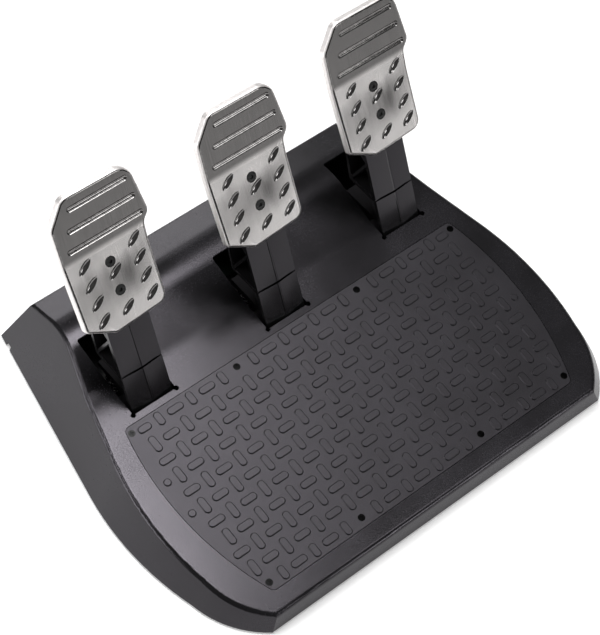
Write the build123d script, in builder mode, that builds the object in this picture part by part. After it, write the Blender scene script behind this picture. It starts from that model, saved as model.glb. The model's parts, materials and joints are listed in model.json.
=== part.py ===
from build123d import *
import os
from math import acos, cos, hypot, pi, radians, sin, sqrt, tan

os.makedirs("parts", exist_ok=True)

# Three-pedal set for driving games, on one sloping base with a ribbed heel plate.
# X runs to the right, Y to the rear and Z up. The origin is on the floor under the base's middle.
# Lengths are in millimetres, angles in degrees.

# Base housing
base_width = 359.0
base_depth = 286.0
foot_height = 1.5
wall = 3.0
front_height = 13.1
deck_slope = 8.0
side_lean = 26.6
front_lean = 11.0
rear_lean = 20.6
kink_radius = 60.0
rise_slope = 15.6
crest_radius = 50.0
fall_slope = 19.4
rim_round = 4.0
skirt_notch = 5.0
# Rear end of the deck, the crest and the side notches, as shares of the half depth from the middle
kink_share = 0.3063
crest_share = 0.6378
notch_share = 0.923
# Half of the footprint, front corner to rear corner, as shares of the half width and the depth
outline_shares = [(0.796, 0.0), (0.889, 0.059), (0.954, 0.159), (1.0, 0.355), (0.970, 0.542), (0.830, 1.0)]

# Heel plate and its grips. The grips' pitches are shares of the base's width and depth, their
# lengths are shares of a pitch, and the rear row's place is a share of the half depth.
column_pitch_share = 0.03621
row_pitch_share = 0.04545
grid_rear_share = 0.05874
grip_columns = 21
grip_rows = 11
grip_length_share = 0.969
grip_short_share = 0.8
grip_width = 5.6
grip_height = 0.8
grip_slope = 40.0
plate_thickness = 3.0
plate_gap = 0.4
# Half widths of the plate as shares of the base's, and its ends as shares of a row from the first
plate_rear_share = 0.781
plate_widest_share = 0.819
plate_front_share = 0.721
plate_start_share = 0.5
plate_end_share = -10.477
plate_corner = 4.0
widest_share = 0.43
plate_screw_radius = 1.25
plate_head_radius = 2.5
# Heel plate screws of the right half, as grip pitches from the middle and from the rear row
plate_screw_cells = [(10.62, -0.13), (4, -0.1), (4, 10), (9.87, 10)]
# Small round studs beside the grips, in the same pitches
stud_cells = [(10.76, 3), (10.76, 5)]
pan_thickness = 2.5
pan_rim = 3.0

# Base plate, its screws, the feet and the threaded inserts
floor_thickness = 2.5
floor_gap = 0.4
screw_radius = 1.5
screw_head_radius = 2.75
screw_length = 9.0
head_angle = 90.0
pilot_radius = 1.25
thread_gap = 0.02
boss_radius = 4.0
drive_width = 0.8
drive_depth = 0.9
foot_length = 34.0
foot_width = 14.0
foot_seat = 1.0
foot_gap = 0.2
foot_shares = [(0.62, -0.80), (0.86, -0.10), (0.56, 0.80)]
insert_spacing = 160.0
insert_y = -60.0
insert_radius = 4.5
insert_bore = 3.0
insert_length = 10.0
insert_boss = 8.0
# Housing screws on the right half, as shares of the half width and the half depth
screw_shares = [(0.42, -0.895), (0.89, -0.47), (0.87, 0.05), (0.79, 0.62), (0.69, 0.855), (0.25, 0.88)]

# Pedals: spacing, slots, pivots
pedal_spacing_share = 0.312
foot_behind_plate = 8.1
throttle_set_back = 10.8
slot_width = 35.0
slot_front_gap = 3.1
slot_length = 60.0
throttle_slot_length = 66.0
slot_corner = 2.0
slot_ear = 1.8
front_clear = 0.4
pivot_back = 8.8
pivot_drop = 15.6
travel = 22.0

# Arm
arm_width = 32.0
arm_rake = 57.5
flange = 2.5
front_flange = 3.0
crown = 1.5
flange_below = 6.5
body_start = 24.0
vertex_back = 41.3
vertex_rise = 15.6
rear_back = 72.9
rear_rise = 75.9
head_top = 32.0
head_drop = 6.0
head_depth = 16.0
body_round = 3.0
web = 4.0
rib = 2.0
stem_width = 18.0
hub_radius = 9.0
axle_radius = 3.0
press_gap = 0.02
tail_length = 36.0
tail_under = 4.0
tail_thick = 4.5
toe_half = 4.0
toe_length = 13.5
groove_at = 26.0
groove_width = 1.6
groove_depth = 0.6
# Zigzag ribs of the arm: places along its front flange, its head and its rear flange, as shares of each
front_rib_share = 0.78
head_rib_share = 0.375
rear_rib_shares = [0.0, 0.72, 1.12]

# Pad and its support
pad_rake = 52.0
pad_back = 44.8
pad_rise = 78.6
pad_bend = 6.0
bend_at = 33.0
bend_radius = 40.0
pad_half_width = 34.5
pad_height = 103.7
pad_below = 26.1
sheet = 1.8
rim_depth = 5.4
support_thickness = 5.0
support_gap = 0.3
pad_screw_gap = 21.0
pad_screw_radius = 2.0
pad_head_radius = 3.4
pad_screw_length = 18.0
pad_boss_radius = 4.5
hex_radius = 1.5
mark_depth = 1.0
mark_slope = 40.0
channel_width = 4.3
dimple_length = 12.6
dimple_width = 5.2
dimple_turn = 35.0
# Pad outline from the lower left corner round to the left: shares of half width and height, and the
# rounding of each corner as a share of the half width
pad_shares = [
    (-0.92, 0.104, 0.09), (-0.35, 0.0, 0.12), (0.834, 0.02, 0.2), (0.87, 0.452, 0.35), (0.905, 0.570, 0.2),
    (1.06, 0.631, 0.2), (0.90, 0.995, 0.35), (-0.54, 1.0, 0.2), (-0.92, 0.836, 0.2),
]
# Sunken channels: left end, right end and place up the pad, as the same shares
channel_shares = [(-0.50, 0.81, 0.914), (-0.62, 0.87, 0.778), (-0.73, 0.93, 0.647)]
# Sunken dimples: columns and rows, as the same shares
dimple_shares = [
    (-0.505, [0.508, 0.378, 0.250, 0.121]), (0.03, [0.380, 0.121]), (0.58, [0.508, 0.378, 0.250, 0.121]),
]

# Pivot bracket, bushes, bumpers, spring
thrust_gap = 0.3
bush_flange = 1.0
bush_flange_radius = 6.3
bush_radius = 5.0
running_gap = 0.05
ear_thickness = 4.0
ear_radius = 9.4
ear_half = 11.0
bracket_top_drop = 15.7
bracket_front = 18.0
bracket_rear = 41.0
bracket_flange = 8.0
bracket_screw_inset = 4.0
bracket_boss = 3.0
bumper_width = 14.0
bumper_drop = 9.5
bumper_length = 6.0
bumper_gap = 0.35
spring_back = 27.0
spring_radius = 8.0
spring_wire = 1.6
spring_gap = 0.2
spring_turns = 5
spring_boss_radius = 5.4
spring_boss = 3.0
clip_radius = 5.0
clip_thickness = 1.0
clip_gap = 0.2

# Sector gear, pinion and angle sensor
gear_module = 1.0
gear_teeth = 40
pinion_teeth = 12
pressure_angle = 25.0
addendum_share = 0.9
dedendum_share = 1.2
backlash = 0.16
centre_extra = 0.08
gear_width = 4.0
gear_gap = 0.7
gear_hub_radius = 6.5
sector_teeth_below = 2
sector_teeth_above = 4
sensor_wall_gap = 1.0
sensor_wall = 3.0
sensor_wall_half = 11.0
sensor_wall_top = 10.5
sensor_radius = 8.5
sensor_length = 9.0
sensor_neck_radius = 4.5
shaft_reach = 6.0
terminal_width = 8.0
terminal_height = 5.0
terminal_length = 3.5

# Circuit board and cable gland
board_length = 60.0
board_width = 30.0
board_thickness = 1.6
board_share = 0.6993
standoff_height = 6.0
standoff_radius = 3.0
board_screw_inset = 4.0
board_screw_length = 5.0
board_head_radius = 2.6
board_head_height = 1.6
socket_length = 10.0
socket_width = 6.0
socket_height = 6.0
chip_size = 9.0
chip_height = 1.4
gland_share = 0.334
gland_z = 16.0
gland_radius = 4.8
gland_bore = 2.7
gland_flange_radius = 7.0
gland_flange = 2.0
gland_length = 16.0
gland_inset = 1.0
gland_gap = 0.2
lead_radius = 1.2
lead_bend = 7.0

# Every cut runs this far past what it cuts
overrun = 40.0

half_depth = base_depth / 2
half_width = base_width / 2
kink_y = kink_share * half_depth
crest_y = crest_share * half_depth
column_pitch = column_pitch_share * base_width
row_pitch = row_pitch_share * base_depth
grid_rear_y = grid_rear_share * half_depth
plate_rear_y = plate_start_share * row_pitch
plate_front_y = plate_end_share * row_pitch
plate_rear_half = plate_rear_share * half_width
plate_widest_half = plate_widest_share * half_width
plate_front_half = plate_front_share * half_width
pedal_spacing = pedal_spacing_share * base_width
foot_y = plate_rear_y + foot_behind_plate
board_y = board_share * half_depth
gland_x = gland_share * half_width
gland_outer_y = half_depth - gland_inset
gland_inner_y = gland_outer_y - gland_length
floor_top = foot_height + floor_thickness
form_height = crest_y * tan(radians(deck_slope)) + overrun


def deck_z(y):
    """Height of the sloping deck plane above the floor."""
    return foot_height + front_height + (y + half_depth) * tan(radians(deck_slope))


deck = Plane(
    origin=(0, grid_rear_y, deck_z(grid_rear_y)),
    x_dir=(1, 0, 0),
    z_dir=(0, -sin(radians(deck_slope)), cos(radians(deck_slope))),
)


def keep(built, name):
    """Label one finished piece and write it."""
    built.part.label = name
    export_step(built.part, f"parts/{name}.step")


def mirrored(points):
    """The points and their mirror images across X = 0."""
    return [(side * x, y) for side in (1, -1) for x, y in points]


def outline_points(height, skin):
    """Right half of the housing's outline at a height above the skirt, drawn in by a skin."""
    half = half_width - height * tan(radians(side_lean)) - skin
    front = -half_depth + height * tan(radians(front_lean)) + skin
    rear = half_depth - height * tan(radians(rear_lean)) - skin
    return [(share_x * half, front + share_y * (rear - front)) for share_x, share_y in outline_shares]


def outline_face(height, skin):
    """The housing's level section at a height above the skirt."""
    right = outline_points(height, skin)
    left = [(-x, y) for x, y in right]
    with BuildSketch(Plane.XY.offset(foot_height + height)) as section:
        with BuildLine():
            Line(left[0], right[0])
            ThreePointArc(right[0], right[1], right[2])
            ThreePointArc(right[2], right[3], right[4])
            Line(right[4], right[5])
            Line(right[5], left[5])
            Line(left[5], left[4])
            ThreePointArc(left[4], left[3], left[2])
            ThreePointArc(left[2], left[1], left[0])
        make_face()
    return section.sketch


def top_profile(drop):
    """Side view of everything below the housing's top, lowered square to the surface by drop."""
    kink_z = deck_z(kink_y)
    crest_z = kink_z + (crest_y - kink_y) * tan(radians(rise_slope))
    front_y = -half_depth - overrun
    rear_y = half_depth + overrun
    rear_z = crest_z - (rear_y - crest_y) * tan(radians(fall_slope))
    with BuildSketch(Plane.YZ) as side:
        with BuildLine():
            Polyline(
                (front_y, -overrun), (front_y, deck_z(front_y)), (kink_y, kink_z),
                (crest_y, crest_z), (rear_y, rear_z), (rear_y, -overrun), close=True,
            )
        make_face()
        fillet(side.vertices().sort_by_distance((kink_y, kink_z))[0], radius=kink_radius)
        fillet(side.vertices().sort_by_distance((crest_y, crest_z))[0], radius=crest_radius)
        if drop:
            offset(amount=-drop, kind=Kind.INTERSECTION)
    return side.sketch


def housing_block(skin):
    """Solid block of the housing's outside, or with a skin the hollow inside it."""
    lean = skin / cos(radians(rear_lean))
    foot = -overrun if skin else 0
    with BuildPart() as block:
        loft([outline_face(foot, lean).face(), outline_face(form_height, lean).face()], ruled=True)
        extrude(top_profile(skin), amount=base_width, both=True, mode=Mode.INTERSECT)
        if not skin:
            tops = block.faces().filter_by(lambda face: face.normal_at().Z > cos(radians(side_lean)))
            rim = [edge for edge in tops.edges() if sum(edge in face.edges() for face in tops) == 1]
            fillet(rim, radius=rim_round)
    return block.part


housing_outside = housing_block(0)
housing_inside = housing_block(wall)


def plate_face(margin, height):
    """Outline of the heel plate on the deck, grown by a margin, at a height off the deck plane."""
    middle_y = plate_rear_y + widest_share * (plate_front_y - plate_rear_y)
    with BuildSketch(deck.offset(height)) as face:
        with BuildLine():
            Line((-plate_rear_half, plate_rear_y), (plate_rear_half, plate_rear_y))
            for hand in (1, -1):
                ThreePointArc(
                    (hand * plate_rear_half, plate_rear_y),
                    (hand * plate_widest_half, middle_y),
                    (hand * plate_front_half, plate_front_y),
                )
            Line((plate_front_half, plate_front_y), (-plate_front_half, plate_front_y))
        make_face()
        fillet(face.vertices(), radius=plate_corner)
        if margin:
            offset(amount=margin)
    return face.sketch


grid_middle = (grip_columns - 1) / 2
grip_rear_row = 0
grip_front_row = grip_rows - 1
corner_x = (grid_middle - (grip_length_share - grip_short_share) / 2) * column_pitch
corner_cells = {(0, grip_rear_row), (grip_columns - 1, grip_rear_row)}
screw_cells = {
    (round(side * column + grid_middle), round(row)) for side in (1, -1) for column, row in plate_screw_cells
}


def cell_spots(cells):
    """Places on the deck of some of the right half's cells, and of their mirror images."""
    return mirrored([(column * column_pitch, -row * row_pitch) for column, row in cells])


plate_screw_spots = cell_spots(plate_screw_cells)


def grip_spots(kind):
    """Places of the heel plate's grips: across, along or the short ones of the first and last rows."""
    spots = []
    for column in range(grip_columns):
        for row in range(grip_rows):
            if (column, row) in screw_cells | corner_cells:
                continue
            if (column + row) % 2 == 0:
                cell_kind = "across"
            elif row in (grip_rear_row, grip_front_row):
                cell_kind = "short"
            else:
                cell_kind = "along"
            if cell_kind == kind:
                spots.append(((column - grid_middle) * column_pitch, -row * row_pitch))
    return spots


with BuildPart() as heel_plate:
    extrude(plate_face(0, -plate_thickness), amount=plate_thickness)
    with BuildSketch(deck):
        with Locations(*grip_spots("across")):
            SlotOverall(grip_length_share * column_pitch, grip_width)
        with Locations(*grip_spots("along")):
            SlotOverall(grip_length_share * row_pitch, grip_width, rotation=90)
        with Locations(*grip_spots("short")):
            SlotOverall(grip_short_share * row_pitch, grip_width, rotation=90)
        with Locations(*mirrored([(corner_x, 0)])):
            SlotOverall(grip_short_share * column_pitch, grip_width)
        with Locations(*cell_spots(stud_cells)):
            Circle(grip_width / 2)
    extrude(amount=grip_height, taper=grip_slope)
    with Locations(*[deck * Pos(x, y, 0) for x, y in plate_screw_spots]):
        CounterSinkHole(
            radius=plate_screw_radius + thread_gap,
            counter_sink_radius=plate_head_radius + thread_gap,
            depth=overrun,
            counter_sink_angle=head_angle,
        )
keep(heel_plate, "heel_plate")


def screw_solids(spots, plane, head_radius, shank_radius, length, drive):
    """Flat-head screws with a cross or hexagon drive, heads flush in a plane, shanks against its normal."""
    head_depth = head_radius - shank_radius
    with BuildPart() as screws:
        with BuildSketch(plane):
            with Locations(*spots):
                Circle(shank_radius)
        extrude(amount=-length)
        for x, y in spots:
            with BuildSketch(plane.offset(-head_depth)):
                with Locations((x, y)):
                    Circle(shank_radius)
            with BuildSketch(plane):
                with Locations((x, y)):
                    Circle(head_radius)
            loft()
        with BuildSketch(plane):
            with Locations(*spots):
                if drive == "hexagon":
                    RegularPolygon(hex_radius, 6)
                else:
                    Rectangle(drive_width, head_radius + drive_width)
                    Rectangle(head_radius + drive_width, drive_width)
        extrude(amount=-drive_depth, mode=Mode.SUBTRACT)
    return screws


heel_plate_screws = screw_solids(
    plate_screw_spots, deck, plate_head_radius, plate_screw_radius - thread_gap,
    screw_length - plate_thickness, "cross",
)
keep(heel_plate_screws, "heel_plate_screws")

housing_screw_spots = mirrored([(x * half_width, y * half_depth) for x, y in screw_shares])
foot_spots = mirrored([(x * half_width, y * half_depth) for x, y in foot_shares])
underside = Plane(origin=(0, 0, foot_height), x_dir=(-1, 0, 0), z_dir=(0, 0, -1))
insert_spots = mirrored([(insert_spacing / 2, insert_y)])
standoff_spots = [
    (x * (board_length / 2 - board_screw_inset), board_y + y * (board_width / 2 - board_screw_inset))
    for x in (1, -1)
    for y in (1, -1)
]


# Pedals: name, place across, foot place up the deck, slot length, side of the gear
pedals = [
    ("clutch", -pedal_spacing, foot_y, slot_length, 1),
    ("brake", 0, foot_y, slot_length, 1),
    ("throttle", pedal_spacing, foot_y + throttle_set_back, throttle_slot_length, -1),
]


def foot_plane(x, y):
    """Side view plane at an arm's foot: its X runs up the deck and its Y square to it."""
    return Plane(origin=deck.from_local_coords((x, y, 0)), x_dir=deck.y_dir, z_dir=(1, 0, 0))


def pivot_plane(x, y):
    """Side view plane at a pedal's pivot, level with the floor."""
    origin = foot_plane(x, y).from_local_coords((pivot_back, -pivot_drop, 0))
    return Plane(origin=origin, x_dir=(0, 1, 0), z_dir=(1, 0, 0))


ear_inner = arm_width / 2 + thrust_gap + bush_flange
ear_outer = ear_inner + ear_thickness
gear_inner = ear_outer + gear_gap
gear_outer = gear_inner + gear_width
wall_inner = gear_outer + sensor_wall_gap
wall_outer = wall_inner + sensor_wall
centre_distance = gear_module * (gear_teeth + pinion_teeth) / 2 + centre_extra
bracket_side = wall_outer + sensor_length + bracket_screw_inset
bracket_plain = ear_outer + bracket_flange


def bracket_screw_spots(x, y, side):
    """Places of one bracket's four screws, seen from above."""
    origin = pivot_plane(x, y).origin
    across = [side * (bracket_side - bracket_screw_inset), -side * (bracket_plain - bracket_screw_inset)]
    along = [bracket_screw_inset - bracket_front, bracket_rear - bracket_screw_inset]
    return [(origin.X + a, origin.Y + b) for a in across for b in along]


all_bracket_spots = [spot for _, x, y, _, side in pedals for spot in bracket_screw_spots(x, y, side)]

# The hollow inside, round the screw bosses
with BuildPart() as hollow:
    add(housing_inside)
    with BuildSketch(Plane.XY.offset(floor_top)):
        with Locations(*housing_screw_spots):
            Circle(boss_radius)
    extrude(amount=form_height, mode=Mode.SUBTRACT)

with BuildPart() as upper_housing:
    add(housing_outside)
    add(hollow.part, mode=Mode.SUBTRACT)
    # Pan under the heel plate
    extrude(plate_face(pan_rim, -plate_thickness - pan_thickness), amount=plate_thickness + pan_thickness)
    extrude(plate_face(plate_gap, -plate_thickness), amount=overrun, mode=Mode.SUBTRACT)
    with BuildSketch(deck.offset(-screw_length)):
        with Locations(*plate_screw_spots):
            Circle(boss_radius)
    extrude(amount=screw_length - plate_thickness)
    with BuildSketch(deck.offset(-screw_length)):
        with Locations(*plate_screw_spots):
            Circle(plate_screw_radius)
    extrude(amount=overrun, mode=Mode.SUBTRACT)
    # Slots for the arms
    for _, pedal_x, pedal_y, length, _ in pedals:
        with BuildSketch(deck):
            with Locations((pedal_x, pedal_y - slot_front_gap + (slot_front_gap + length) / 2)):
                RectangleRounded(slot_width, slot_front_gap + length, slot_corner)
            for hand in (1, -1):
                with Locations((pedal_x + hand * slot_width / 2, pedal_y - slot_front_gap)):
                    Circle(slot_ear)
        extrude(amount=overrun, both=True, mode=Mode.SUBTRACT)
    with BuildSketch(Plane.XY.offset(foot_height + screw_length + flange / 2)):
        with Locations(*housing_screw_spots):
            Circle(screw_radius)
    extrude(amount=-overrun, mode=Mode.SUBTRACT)
    # Hole for the cable gland, and a small notch low in each side near the rear
    with BuildSketch(Plane.XZ.offset(-gland_outer_y)):
        with Locations((gland_x, gland_z)):
            Circle(gland_radius + gland_gap)
    extrude(amount=gland_outer_y - gland_inner_y - gland_flange, mode=Mode.SUBTRACT)
    with BuildSketch(Plane.YZ):
        with Locations((notch_share * half_depth, foot_height)):
            Rectangle(skirt_notch, skirt_notch)
    extrude(amount=base_width, both=True, mode=Mode.SUBTRACT)
keep(upper_housing, "upper_housing")


def below(spots):
    """Places seen from above, turned into the underside plane's own places."""
    return [(-x, y) for x, y in spots]


with BuildPart() as base_plate:
    floor_inset = wall / cos(radians(rear_lean)) + floor_gap
    extrude(outline_face(floor_thickness, floor_inset), amount=-floor_thickness)
    with BuildSketch(Plane.XY.offset(floor_top)):
        with Locations(*insert_spots):
            Circle(insert_boss)
    extrude(amount=insert_length)
    with BuildSketch(Plane.XY.offset(floor_top)):
        with Locations(*standoff_spots):
            Circle(standoff_radius)
    extrude(amount=standoff_height)
    with BuildSketch(Plane.XY.offset(floor_top + standoff_height)):
        with Locations(*standoff_spots):
            Circle(pilot_radius)
    extrude(amount=-standoff_height, mode=Mode.SUBTRACT)
    with BuildSketch(underside):
        with Locations(*below(insert_spots)):
            Circle(insert_radius + press_gap)
    extrude(amount=-insert_length, mode=Mode.SUBTRACT)
    with BuildSketch(underside):
        with Locations(*below(foot_spots)):
            RectangleRounded(foot_length + 2 * foot_gap, foot_width + 2 * foot_gap, foot_width / 3)
    extrude(amount=-foot_seat, mode=Mode.SUBTRACT)
    with Locations(*[underside * Pos(x, y, 0) for x, y in below(housing_screw_spots + all_bracket_spots)]):
        CounterSinkHole(
            radius=screw_radius + thread_gap,
            counter_sink_radius=screw_head_radius + thread_gap,
            depth=floor_thickness,
            counter_sink_angle=head_angle,
        )
keep(base_plate, "base_plate")

with BuildPart() as rubber_feet:
    with BuildSketch(underside.offset(-foot_seat)):
        with Locations(*below(foot_spots)):
            RectangleRounded(foot_length, foot_width, foot_width / 3)
    extrude(amount=foot_seat + foot_height)
keep(rubber_feet, "rubber_feet")

with BuildPart() as rig_inserts:
    with BuildSketch(underside):
        with Locations(*below(insert_spots)):
            Circle(insert_radius)
            Circle(insert_bore, mode=Mode.SUBTRACT)
    extrude(amount=-insert_length)
keep(rig_inserts, "rig_inserts")

housing_screws = screw_solids(
    below(housing_screw_spots), underside, screw_head_radius, screw_radius - thread_gap, screw_length, "cross"
)
keep(housing_screws, "housing_screws")

bracket_screws = screw_solids(
    below(all_bracket_spots), underside, screw_head_radius, screw_radius - thread_gap, screw_length, "cross"
)
keep(bracket_screws, "bracket_screws")

with BuildPart() as cable_gland:
    with BuildSketch(Plane.XZ.offset(-gland_outer_y)):
        with Locations((gland_x, gland_z)):
            Circle(gland_radius)
    extrude(amount=gland_outer_y - gland_inner_y)
    with BuildSketch(Plane.XZ.offset(-gland_inner_y - gland_flange)):
        with Locations((gland_x, gland_z)):
            Circle(gland_flange_radius)
    extrude(amount=gland_flange)
    with BuildSketch(Plane.XZ.offset(-gland_outer_y)):
        with Locations((gland_x, gland_z)):
            Circle(gland_bore)
    extrude(amount=gland_outer_y - gland_inner_y, mode=Mode.SUBTRACT)
keep(cable_gland, "cable_gland")

board_z = floor_top + standoff_height
board_top = board_z + board_thickness
with BuildPart() as circuit_board:
    with BuildSketch(Plane.XY.offset(board_z)):
        with Locations((0, board_y)):
            Rectangle(board_length, board_width)
        with Locations(*standoff_spots):
            Circle(screw_radius, mode=Mode.SUBTRACT)
    extrude(amount=board_thickness)
    with BuildSketch(Plane.XY.offset(board_top)):
        with Locations((0, board_y)):
            Rectangle(chip_size, chip_size)
    extrude(amount=chip_height)
keep(circuit_board, "circuit_board")

socket_row = board_width / 2 - socket_width
# Board sockets: for each pedal's sensor lead, then the longer one for the cable
lead_sockets = {
    "clutch": (-board_length / 4, board_y - socket_row),
    "brake": (board_length / 4, board_y - socket_row),
    "throttle": (board_length / 4, board_y + socket_row),
}
cable_socket = (-board_length / 5, board_y + socket_row)
with BuildPart() as board_sockets:
    with BuildSketch(Plane.XY.offset(board_top)):
        with Locations(*lead_sockets.values()):
            Rectangle(socket_length, socket_width)
        with Locations(cable_socket):
            Rectangle(2 * socket_length, socket_width)
    extrude(amount=socket_height)
    with BuildSketch(Plane.XY.offset(board_top + socket_height)):
        with Locations(*lead_sockets.values()):
            Rectangle(socket_length - socket_width / 2, socket_width / 2)
        with Locations(cable_socket):
            Rectangle(2 * socket_length - socket_width / 2, socket_width / 2)
    extrude(amount=-socket_height / 2, mode=Mode.SUBTRACT)
keep(board_sockets, "board_sockets")

with BuildPart() as board_screws:
    with BuildSketch(Plane.XY.offset(board_top)):
        with Locations(*standoff_spots):
            Circle(board_head_radius)
    extrude(amount=board_head_height)
    with BuildSketch(Plane.XY.offset(board_top)):
        with Locations(*standoff_spots):
            Circle(pilot_radius - thread_gap)
    extrude(amount=-board_screw_length)
    with BuildSketch(Plane.XY.offset(board_top + board_head_height)):
        with Locations(*standoff_spots):
            Rectangle(drive_width, board_head_radius + drive_width)
            Rectangle(board_head_radius + drive_width, drive_width)
    extrude(amount=-drive_depth, mode=Mode.SUBTRACT)
keep(board_screws, "board_screws")


def gear_radii(teeth):
    """Pitch, base, root and tip radius of a spur gear."""
    pitch_radius = gear_module * teeth / 2
    base = pitch_radius * cos(radians(pressure_angle))
    root = pitch_radius - dedendum_share * gear_module
    return pitch_radius, base, root, pitch_radius + addendum_share * gear_module


def half_tooth(teeth, radius):
    """Half the angle of a tooth at a radius, in radians, thinned by the backlash."""
    pitch_radius, base, _, _ = gear_radii(teeth)
    pressed = radians(pressure_angle)
    at_pitch = pi / (2 * teeth) - backlash / (2 * pitch_radius) + tan(pressed) - pressed
    reach = max(radius, base)
    pressed_here = acos(base / reach)
    return at_pitch - (sqrt((reach / base) ** 2 - 1) - pressed_here)


def tooth_points(teeth, middle, steps=5):
    """One tooth's outline from root to root, its middle at an angle in radians."""
    _, base, root, tip = gear_radii(teeth)
    start = max(root, base)
    radii = [root] * (root < base) + [start + (tip - start) * step / steps for step in range(steps + 1)]
    rising = [(radius, middle - half_tooth(teeth, radius)) for radius in radii]
    falling = [(radius, middle + half_tooth(teeth, radius)) for radius in reversed(radii)]
    return [(radius * cos(angle), radius * sin(angle)) for radius, angle in rising + falling]


def coil_path(start, radius, pitch, turns):
    """A rising coil of smooth arcs, two to each quarter turn."""
    quarter = pi / 2
    slope = hypot(radius, pitch / (2 * pi))

    def point(count):
        angle = count * quarter
        return Vector(radius * cos(angle), radius * sin(angle), pitch * count / 4) + start

    def heading(count):
        angle = count * quarter
        return Vector(-radius * sin(angle), radius * cos(angle), pitch / (2 * pi)) / slope

    with BuildLine() as path:
        for count in range(4 * turns):
            chord = point(count + 1) - point(count)
            both = heading(count) + heading(count + 1)
            spread = 2 * (1 - heading(count).dot(heading(count + 1)))
            along = chord.dot(both)
            reach = (sqrt(along**2 + spread * chord.dot(chord)) - along) / spread
            first = point(count) + heading(count) * reach
            last = point(count + 1) - heading(count + 1) * reach
            middle = (first + last) / 2
            TangentArc(point(count), middle, tangent=heading(count))
            TangentArc(middle, point(count + 1), tangent=last - first)
    return path.line


def front_point(along, depth=0):
    """Point on the arm's front line, or behind it, seen from the side at the foot."""
    rake = radians(arm_rake)
    return (along * cos(rake) + depth * sin(rake), along * sin(rake) - depth * cos(rake))


def pad_point(up, depth=0):
    """Point up the pad's face from the lower pad screw, and behind the face by depth."""
    rake = radians(pad_rake)
    return (pad_back + up * cos(rake) + depth * sin(rake), pad_rise + up * sin(rake) - depth * cos(rake))


mount_depth = sheet + support_thickness
rake_gap = radians(arm_rake - pad_rake)
# Where the arm's front line meets the face that carries the pad support
head_reach = pad_rise * cos(radians(pad_rake)) - pad_back * sin(radians(pad_rake)) - mount_depth
head_meet = head_reach / sin(rake_gap)
body_points = [
    front_point(body_start),
    (vertex_back, vertex_rise),
    (rear_back, rear_rise),
    pad_point(head_top - head_drop, mount_depth + head_depth),
    pad_point(head_top, mount_depth),
    front_point(head_meet),
]
front_marks = [
    front_point(body_start + front_rib_share * (head_meet - body_start), flange / 2),
    pad_point(head_rib_share * head_top, mount_depth + flange / 2),
]
rear_marks = [
    (vertex_back + share * (rear_back - vertex_back), vertex_rise + share * (rear_rise - vertex_rise))
    for share in rear_rib_shares
]


def pad_region(foot, depth):
    """Side view of everything behind the pad's face by a depth, following its bend."""
    rake = radians(pad_rake)
    bent = radians(pad_rake + pad_bend)
    low = pad_point(-pad_below - overrun)
    bend = pad_point(bend_at)
    top = (bend[0] + 2 * overrun * cos(bent), bend[1] + 2 * overrun * sin(bent))
    back = 2 * overrun * sin(rake), -2 * overrun * cos(rake)
    with BuildSketch(foot) as region:
        with BuildLine():
            Polyline(
                low, bend, top,
                (top[0] + back[0], top[1] + back[1]),
                (low[0] + back[0], low[1] + back[1]), close=True,
            )
        make_face()
        fillet(region.vertices().sort_by_distance(bend)[0], radius=bend_radius)
        if depth:
            offset(amount=-depth, kind=Kind.INTERSECTION)
    return region.sketch


def pad_plane_at(foot, up=0, bend=0):
    """The pad's plane at a place up its face: X across, Y up the pad, Z towards the driver."""
    rake = radians(pad_rake + bend)
    return Plane(
        origin=foot.from_local_coords((*pad_point(up), 0)),
        x_dir=(1, 0, 0),
        z_dir=foot.y_dir * cos(rake) - foot.x_dir * sin(rake),
    )


def pad_outline(plane, inset):
    """The pad's outline in its plane, drawn in by an inset."""
    corners = [(x * pad_half_width, y * pad_height - pad_below) for x, y, _ in pad_shares]
    with BuildSketch(plane) as face:
        with BuildLine():
            Polyline(*corners, close=True)
        make_face()
        for corner, (_, _, share) in zip(corners, pad_shares):
            fillet(face.vertices().sort_by_distance(corner)[0], radius=share * pad_half_width)
        if inset:
            offset(amount=-inset)
    return face.sketch


def pad_layer(foot, near, far, inset):
    """A layer behind the pad's face, from one depth to another, cut to the pad's outline."""
    plane = pad_plane_at(foot)
    with BuildPart() as layer:
        extrude(pad_region(foot, near), amount=pad_height, both=True)
        extrude(pad_region(foot, far), amount=pad_height, both=True, mode=Mode.SUBTRACT)
        extrude(pad_outline(plane, inset), amount=overrun, both=True, mode=Mode.INTERSECT)
    return layer.part


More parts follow.
